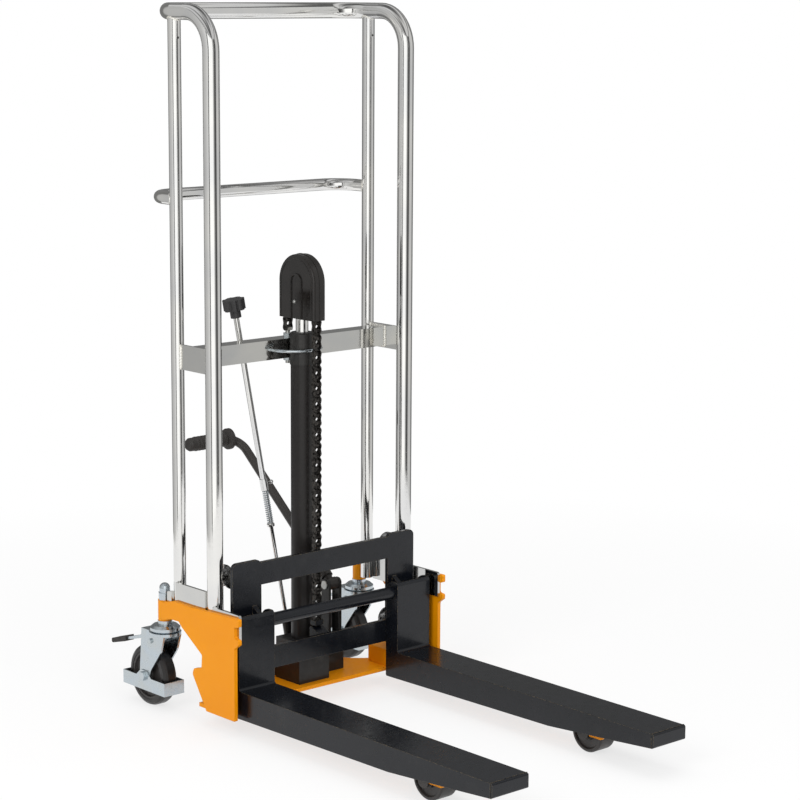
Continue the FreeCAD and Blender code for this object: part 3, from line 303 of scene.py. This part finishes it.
# ---- mesh helpers ----
def new_object(name, mesh):
    """Object in the scene from a bmesh, which is freed."""
    data = bpy.data.meshes.new(name)
    mesh.to_mesh(data)
    mesh.free()
    made = bpy.data.objects.new(name, data)
    bpy.context.scene.collection.objects.link(made)
    return made


def finish_mesh(name, mesh, material, body, smooth=35.0):
    """Piece from a bmesh, riding on body, or on none yet where body is None."""
    bmesh.ops.recalc_face_normals(mesh, faces=mesh.faces)
    piece = new_object(name, mesh)
    piece.data.materials.append(MATERIALS[material])
    for face in piece.data.polygons:
        face.use_smooth = True
    piece.data.set_sharp_from_angle(angle=math.radians(smooth))
    if body:
        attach(piece, body)
    return piece


def sweep(mesh, path, radius_at, sides, closed=False):
    """Tube along path; radius_at(i, angle) gives its radius at ring i."""
    count = len(path)
    rings = []
    side = None
    for i, spot in enumerate(path):
        if closed:
            heading = (path[(i + 1) % count] - path[i - 1]).normalized()
        else:
            heading = (path[min(i + 1, count - 1)] - path[max(i - 1, 0)]).normalized()
        if side is None:
            side = heading.orthogonal().normalized()
        side = (side - heading * side.dot(heading)).normalized()
        other = heading.cross(side)
        ring = []
        for k in range(sides):
            turn = 2 * math.pi * k / sides
            reach = radius_at(i, turn)
            ring.append(mesh.verts.new(spot + (side * math.cos(turn) + other * math.sin(turn)) * reach))
        rings.append(ring)
    for i in range(count if closed else count - 1):
        near, far = rings[i], rings[(i + 1) % count]
        for k in range(sides):
            mesh.faces.new((near[k], near[(k + 1) % sides], far[(k + 1) % sides], far[k]))
    if not closed:
        mesh.faces.new(rings[0][::-1])
        mesh.faces.new(rings[-1])


def prism(mesh, outline, place, thickness):
    """Solid from a closed outline of (a, b) points; place(a, b, depth) gives each corner."""
    near = [mesh.verts.new(place(a, b, -thickness / 2)) for a, b in outline]
    far = [mesh.verts.new(place(a, b, thickness / 2)) for a, b in outline]
    count = len(outline)
    mesh.faces.new(near[::-1])
    mesh.faces.new(far)
    for i in range(count):
        mesh.faces.new((near[i], near[(i + 1) % count], far[(i + 1) % count], far[i]))


def lathe(mesh, profile, foot, axis, sides):
    """Turned solid from (radius, distance) points along axis; ends with radius 0 are closed."""
    across = axis.orthogonal().normalized()
    other = axis.cross(across).normalized()
    rings = []
    for radius, along in profile:
        if radius == 0:
            rings.append([mesh.verts.new(foot + axis * along)])
            continue
        ring = []
        for k in range(sides):
            turn = 2 * math.pi * k / sides
            outward = across * math.cos(turn) + other * math.sin(turn)
            ring.append(mesh.verts.new(foot + axis * along + outward * radius))
        rings.append(ring)
    for near, far in zip(rings, rings[1:]):
        for k in range(sides):
            following = (k + 1) % sides
            if len(near) == 1:
                mesh.faces.new((near[0], far[following], far[k]))
            elif len(far) == 1:
                mesh.faces.new((near[k], near[following], far[0]))
            else:
                mesh.faces.new((near[k], near[following], far[following], far[k]))


# ---- lift chain: 5/8 inch roller chain ----
PITCH = 0.015875
PLATE_T = 0.0015
PLATE_HALF = 0.0072
WAIST_HALF = 0.0050
ROLLER_R = 0.00508
PIN_R = 0.0025
INNER_X = 0.0052
OUTER_X = 0.0070
PIN_REACH = 0.0085
ROLLER_CHAMFER = 0.0004
RIVET_TAPER = 0.0008
RIVET_LENGTH = 0.0006
ROLLER_SIDES = 16
PIN_SIDES = 12
WRAP_LINKS = 9
STRAND_PIECES = 8


def link_outline(length):
    """Figure-eight outline of one link plate between pins at 0 and length."""
    steps = 7
    points = []
    for end, first in ((length, -math.pi / 2), (0.0, math.pi / 2)):
        for k in range(steps + 1):
            turn = first + math.pi * k / steps
            points.append((end + PLATE_HALF * math.cos(turn), PLATE_HALF * math.sin(turn)))
        waist = WAIST_HALF if end else -WAIST_HALF
        points.append((length / 2, waist))
    return points


def chain_links(mesh, pins, first_outer):
    """Links, rollers and riveted pins along a list of pin centres in the plane x = 0."""
    x_axis = Vector((1, 0, 0))
    for i, (start, end) in enumerate(zip(pins, pins[1:])):
        along = (end - start).normalized()
        up = x_axis.cross(along)
        outer = (i % 2 == 0) == first_outer
        plate_x = OUTER_X if outer else INNER_X
        outline = link_outline((end - start).length)
        for side in (-1, 1):
            def place(a, b, depth):
                return start + along * a + up * b + x_axis * (side * plate_x + depth)
            prism(mesh, outline, place, PLATE_T)
    half = INNER_X - PLATE_T / 2
    roller_end, rivet_end = ROLLER_R - ROLLER_CHAMFER, PIN_R - RIVET_TAPER
    roller = [(PIN_R, -half), (roller_end, -half), (ROLLER_R, -half + ROLLER_CHAMFER),
              (ROLLER_R, half - ROLLER_CHAMFER), (roller_end, half), (PIN_R, half)]
    pin = [(0, -PIN_REACH), (rivet_end, -PIN_REACH), (PIN_R, -PIN_REACH + RIVET_LENGTH),
           (PIN_R, PIN_REACH - RIVET_LENGTH), (rivet_end, PIN_REACH), (0, PIN_REACH)]
    for spot in pins:
        lathe(mesh, roller, spot, x_axis, ROLLER_SIDES)
        lathe(mesh, pin, spot, x_axis, PIN_SIDES)


def even_blend(name, pins, first_outer, replaced):
    """Strand cut into short pieces that ride on no body."""
    count = len(pins) - 1

    for group in range(STRAND_PIECES):
        first, last = count * group // STRAND_PIECES, count * (group + 1) // STRAND_PIECES
        if first == last:  # a strand with fewer links than pieces leaves some pieces empty
            continue
        mesh = bmesh.new()
        chain_links(mesh, pins[first:last + 1], first_outer == (first % 2 == 0))
        piece = finish_mesh(f"{name}_{group + 1}", mesh, "chain", None)
        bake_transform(piece)
        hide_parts(replaced)


pulley = joint_place("pulley_turn")
chain_r = PITCH / 2 / math.sin(math.pi / (2 * WRAP_LINKS))


def strand_pins(node, side):
    """Pin centres of a straight strand, from the node's foot up to the pulley's height."""
    bottom = low(node).z
    links = round((pulley.z - bottom) / PITCH)
    y = pulley.y + side * chain_r
    return [Vector((0, y, bottom + (pulley.z - bottom) * i / links)) for i in range(links + 1)]


front_pins = strand_pins("chain_front", -1)
rear_pins = strand_pins("chain_rear", 1)
even_blend("front_strand", front_pins, True, "chain_front")
even_blend("rear_strand", rear_pins, True, "chain_rear")

wrap = bmesh.new()
wrap_pins = []
for i in range(WRAP_LINKS + 1):
    turn = math.pi * i / WRAP_LINKS
    wrap_pins.append(pulley + Vector((0, -chain_r * math.cos(turn), chain_r * math.sin(turn))))
chain_links(wrap, wrap_pins, len(front_pins) % 2 == 0)
wrap_piece = finish_mesh("chain_over_pulley", wrap, "chain", "ram")
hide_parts("chain_wrap")

# ---- pulley cover trim ----
GASKET_R = 0.0012
GASKET_PROUD = 0.0002
RIM_R = 0.0011
RIM_INSET = 0.0085
RIM_DEPTH = 0.0026
TRIM_FOOT_GAP = 0.001
TRIM_SIDES = 8


def arch_path(radius, x):
    """Up one side of the cover, over the pulley and down the other side."""
    steps = 24
    foot_z = low("cover_left").z + TRIM_FOOT_GAP
    path = [Vector((x, pulley.y - radius, foot_z))]
    for k in range(steps + 1):
        turn = math.pi * k / steps
        path.append(Vector((x, pulley.y - radius * math.cos(turn), pulley.z + radius * math.sin(turn))))
    path.append(Vector((x, pulley.y + radius, foot_z)))
    return path


def cover_trim():
    """Raised rim along the arch of each cover face, and the gasket line in the seam between the halves."""
    outer_r = (high("cover_left").y - low("cover_left").y) / 2
    mesh = bmesh.new()
    sweep(mesh, arch_path(outer_r + GASKET_PROUD, 0.0), lambda i, turn: GASKET_R, TRIM_SIDES)
    for x in (low("cover_left").x + RIM_DEPTH, high("cover_right").x - RIM_DEPTH):
        sweep(mesh, arch_path(outer_r - RIM_INSET, x), lambda i, turn: RIM_R, TRIM_SIDES)
    finish_mesh("cover_trim", mesh, "plastic", "ram", 60.0)


cover_trim()

# ---- weld beads ----
STEP_PER_RADIUS = 0.22
WIDTH_SPREAD = (0.88, 1.12)
RIPPLE_DEPTH = 0.16
STEPS_PER_RIPPLE = 6
BEAD_SIDES = 8


def bead(mesh, points, radius, closed=False):
    """Weld bead along a curve: overlapping ripples of uneven width, thinner at open ends."""
    spacing = radius * STEP_PER_RADIUS
    path = []
    spans = list(zip(points, points[1:] + points[:1])) if closed else list(zip(points, points[1:]))
    for start, end in spans:
        steps = max(1, round((end - start).length / spacing))
        path += [start.lerp(end, i / steps) for i in range(steps)]
    if not closed:
        path.append(points[-1])
    wander = [random.uniform(*WIDTH_SPREAD) for _ in path]
    count = len(path)

    def thickness(i, turn):
        ripple = 1 - RIPPLE_DEPTH * abs(math.sin(i * math.pi / STEPS_PER_RIPPLE))
        taper = 1.0 if closed else min(1.0, 0.35 + 0.12 * min(i, count - 1 - i))
        return radius * ripple * taper * (0.5 + 0.5 * wander[i]) * (0.94 + 0.06 * math.cos(3 * turn + i))

    sweep(mesh, path, thickness, BEAD_SIDES, closed)


FRONT_R = 0.0165
REAR_R = 0.013
HANDLE_R = 0.0126
SADDLE_WELD_R = 0.0019
HANDLE_WELD_R = 0.0018
TUBE_WELD_PROUD = 0.0006
RING_STEPS = 40
tube_x = (high("mast_hoop").x - low("mast_hoop").x) / 2 - FRONT_R
front_y = low("mast_hoop").y + FRONT_R
rear_y = middle("rear_uprights").y
run_z = high("mast_hoop").z - FRONT_R
handle_z = middle("push_handle").z
bar_low, bar_high = low("crossbar"), high("crossbar")

tube_welds = bmesh.new()
for sign in (-1, 1):
    x = sign * tube_x
    saddle = []
    handle_ring = []
    for k in range(RING_STEPS):
        turn = 2 * math.pi * k / RING_STEPS
        dx = REAR_R * math.cos(turn)
        drop = math.sqrt(FRONT_R ** 2 - dx ** 2)
        saddle.append(Vector((x + dx, rear_y + REAR_R * math.sin(turn), run_z - drop - TUBE_WELD_PROUD)))
        dx = HANDLE_R * math.cos(turn)
        depth = math.sqrt(max(REAR_R ** 2 - dx ** 2, 0))
        y = rear_y + depth + TUBE_WELD_PROUD
        handle_ring.append(Vector((x + dx, y, handle_z + HANDLE_R * math.sin(turn))))
    bead(tube_welds, saddle, SADDLE_WELD_R, closed=True)
    bead(tube_welds, handle_ring, HANDLE_WELD_R, closed=True)
finish_mesh("tube_welds", tube_welds, "weld", "frame", 60.0)

GUSSET_T = 0.005
GUSSET_RISE = 0.005
GUSSET_WELD_R = 0.0044
GUSSET_WELD_PROUD = 0.0008
CROSSBAR_WELD_R = 0.0038
gusset_welds = bmesh.new()
plate_low, plate_high = bar_low.z - GUSSET_RISE, bar_high.z + GUSSET_RISE
for sign in (-1, 1):
    plate_outer, plate_inner = sign * (bar_high.x + GUSSET_T), sign * bar_high.x
    for x in (plate_outer, plate_inner):
        offset = abs(abs(x) - tube_x)
        for tube_centre, tube_r, way in ((front_y, FRONT_R, 1), (rear_y, REAR_R, -1)):
            y = tube_centre + way * (math.sqrt(tube_r ** 2 - offset ** 2) + GUSSET_WELD_PROUD)
            bead(gusset_welds, [Vector((x, y, plate_low)), Vector((x, y, plate_high))], GUSSET_WELD_R)
    corners = [Vector((plate_inner, y, z)) for y, z in (
        (bar_low.y, bar_low.z), (bar_low.y, bar_high.z), (bar_high.y, bar_high.z), (bar_high.y, bar_low.z))]
    bead(gusset_welds, corners, CROSSBAR_WELD_R, closed=True)
finish_mesh("gusset_welds", gusset_welds, "weld", "frame", 60.0)

FORK_TIP_HEIGHT = 0.028
END_PLATE_T = 0.005
FORK_WELD_R = 0.0014
fork_welds = bmesh.new()
for mount in frame["record"]["mounts"]:
    top_z = mount["pos_m"][2]
    node = mount["name"].replace("_fork_top", "")
    near, far = low("fork_" + node), high("fork_" + node)
    seam_y = near.y + END_PLATE_T
    foot_z = top_z - FORK_TIP_HEIGHT
    corners = [Vector((x, seam_y, z)) for x, z in
               ((near.x, foot_z), (near.x, top_z), (far.x, top_z), (far.x, foot_z))]
    bead(fork_welds, corners, FORK_WELD_R)
finish_mesh("fork_welds", fork_welds, "black", "carriage", 60.0)


# ---- camera, floor and light ----
def look(location, azimuth, pitch, roll, focal):
    """Camera from its angles: azimuth 0 looks along +Y, and positive pitch looks down."""
    yaw, dip, lean = (math.radians(angle) for angle in (azimuth, pitch, roll))
    forward = Vector((-math.sin(yaw) * math.cos(dip), math.cos(yaw) * math.cos(dip), -math.sin(dip)))
    right = Vector((math.cos(yaw), math.sin(yaw), 0))
    up = right.cross(forward)
    rolled_right = right * math.cos(lean) + up * math.sin(lean)
    rolled_up = up * math.cos(lean) - right * math.sin(lean)
    data = bpy.data.cameras.new("camera")
    data.sensor_width = 36.0
    data.lens = focal
    camera = bpy.data.objects.new("camera", data)
    bpy.context.scene.collection.objects.link(camera)
    turn = Matrix((rolled_right, rolled_up, -forward)).transposed()
    camera.matrix_world = Matrix.Translation(location) @ turn.to_4x4()
    bpy.context.scene.camera = camera


look(Vector((-2.9804, -3.3856, 1.4580)), azimuth=-41.854, pitch=10.018, roll=0.331, focal=105.08)


def seen_share(tree):
    """1 for rays from the camera and for reflections and see-through rays."""
    path = add(tree, "ShaderNodeLightPath")
    seen = path.outputs["Is Camera Ray"]
    for ray in ("Is Glossy Ray", "Is Transmission Ray"):
        seen = add(tree, "ShaderNodeMath", {0: seen, 1: path.outputs[ray]}, operation="MAXIMUM").outputs[0]
    return seen


def make_floor():
    """Pale floor that stays white for the camera and keeps the shadow under the object."""
    reach, drop = 30.0, 0.0005
    mesh = bmesh.new()
    mesh.faces.new([mesh.verts.new((x, y, -drop)) for x, y in
                    ((-reach, -reach), (reach, -reach), (reach, reach), (-reach, reach))])
    floor = new_object("floor", mesh)
    material = blank_material("floor")
    tree = material.node_tree
    matt = add(tree, "ShaderNodeBsdfDiffuse", {"Color": (0.86, 0.86, 0.86, 1)}).outputs[0]
    white = add(tree, "ShaderNodeEmission", {"Color": (1, 1, 1, 1), "Strength": 1.0}).outputs[0]
    distance = add(tree, "ShaderNodeVectorMath", {0: where(tree), 1: (0, 0, 0)}, operation="DISTANCE")
    far = remap(tree, distance.outputs["Value"], 0.9, 2.2, 0.72, 1.0)
    share = add(tree, "ShaderNodeMath", {0: far, 1: seen_share(tree)}, operation="MULTIPLY").outputs[0]
    mixed = add(tree, "ShaderNodeMixShader", {0: share, 1: matt, 2: white}).outputs[0]
    add(tree, "ShaderNodeOutputMaterial", {"Surface": mixed})
    floor.data.materials.append(material)


def room_levels(tree, bearing):
    """Brightness of the walls by bearing: soft white and grey stretches with dark gaps between them."""
    turn = remap(tree, bearing, -math.pi, math.pi, 0.0, 1.0)
    walls = add(tree, "ShaderNodeValToRGB", {"Fac": turn})
    ramp = walls.color_ramp
    # share of the full turn, counted from -X through -Y, and the brightness there
    stops = [
        (0.000, 0.80), (0.013, 0.85), (0.018, 0.02), (0.038, 0.02), (0.046, 1.25), (0.168, 1.25),
        (0.225, 0.25), (0.270, 0.08), (0.308, 0.06), (0.322, 0.45), (0.360, 0.66), (0.450, 0.68),
        (0.480, 0.30), (0.500, 0.22), (0.790, 0.20), (0.815, 0.52), (0.900, 0.60), (1.000, 0.80),
    ]
    while len(ramp.elements) < len(stops):
        ramp.elements.new(0.5)
    for element, (place, level) in zip(ramp.elements, stops):
        element.position = place
        element.color = (level, level, level * 0.99, 1)
    return walls.outputs["Color"]


def make_room():
    """Studio walls and ceiling around the object that only show in its polished metal."""
    radius, height, foot, steps = 1.9, 2.4, 0.001, 96
    mesh = bmesh.new()
    floor_ring, top_ring = [], []
    for k in range(steps):
        turn = 2 * math.pi * k / steps
        spot = Vector((radius * math.cos(turn), radius * math.sin(turn), foot))
        floor_ring.append(mesh.verts.new(spot))
        top_ring.append(mesh.verts.new(spot + Vector((0, 0, height))))
    for k in range(steps):
        following = (k + 1) % steps
        mesh.faces.new((floor_ring[k], floor_ring[following], top_ring[following], top_ring[k]))
    mesh.faces.new(top_ring)
    room = new_object("room", mesh)
    material = blank_material("room")
    tree = material.node_tree
    split = add(tree, "ShaderNodeSeparateXYZ", {0: where(tree)})
    across = {0: split.outputs["Y"], 1: split.outputs["X"]}
    bearing = add(tree, "ShaderNodeMath", across, operation="ARCTAN2").outputs[0]
    ceiling_band = 0.01
    ceiling = remap(tree, split.outputs["Z"], height - ceiling_band, height, 0.0, 1.0)
    slats = remap(tree, noise(tree, 2.2, 1.0, stretch=(1, 0.15, 0)), 0.40, 0.60, 0.12, 0.72)
    shade = add(tree, "ShaderNodeCombineXYZ", {0: slats, 1: slats, 2: slats}).outputs[0]
    colour = blend_colour(tree, ceiling, room_levels(tree, bearing), shade)
    glow = add(tree, "ShaderNodeEmission", {"Color": colour, "Strength": 1.0}).outputs[0]
    add(tree, "ShaderNodeOutputMaterial", {"Surface": glow})
    room.data.materials.append(material)
    room.visible_camera = False
    room.visible_diffuse = False
    room.visible_shadow = False
    room.visible_transmission = False


def make_world():
    """White where it is seen, directly or in metal and glass, and even light for the rest."""
    world = bpy.data.worlds.new("studio")
    bpy.context.scene.world = world
    world.use_nodes = True
    tree = world.node_tree
    tree.nodes.clear()
    even = add(tree, "ShaderNodeBackground", {"Color": (1, 1, 1, 1), "Strength": 0.62}).outputs[0]
    white = add(tree, "ShaderNodeBackground", {"Color": (1, 1, 1, 1), "Strength": 1.0}).outputs[0]
    last = add(tree, "ShaderNodeMixShader", {0: seen_share(tree), 1: even, 2: white}).outputs[0]
    add(tree, "ShaderNodeOutputWorld", {"Surface": last})


def lamp(name, place, target, size, power):
    """Soft rectangular light at place, facing target."""
    data = bpy.data.lights.new(name, "AREA")
    data.shape = "RECTANGLE"
    data.size, data.size_y = size
    data.energy = power
    light = bpy.data.objects.new(name, data)
    bpy.context.scene.collection.objects.link(light)
    light.location = place
    light.rotation_mode = "QUATERNION"
    light.rotation_quaternion = (Vector(target) - Vector(place)).to_track_quat("-Z", "Y")


make_floor()
make_room()
make_world()
lamp("key", (-3.6, -1.2, 2.6), (0, 0, 0.6), (2.2, 2.2), 70.0)
lamp("front", (-0.6, -4.2, 2.4), (0, 0, 0.5), (2.4, 1.8), 60.0)
lamp("top", (0.3, 0.4, 4.0), (0, 0, 0), (3.0, 3.0), 50.0)
bpy.context.scene.view_settings.view_transform = "Standard"
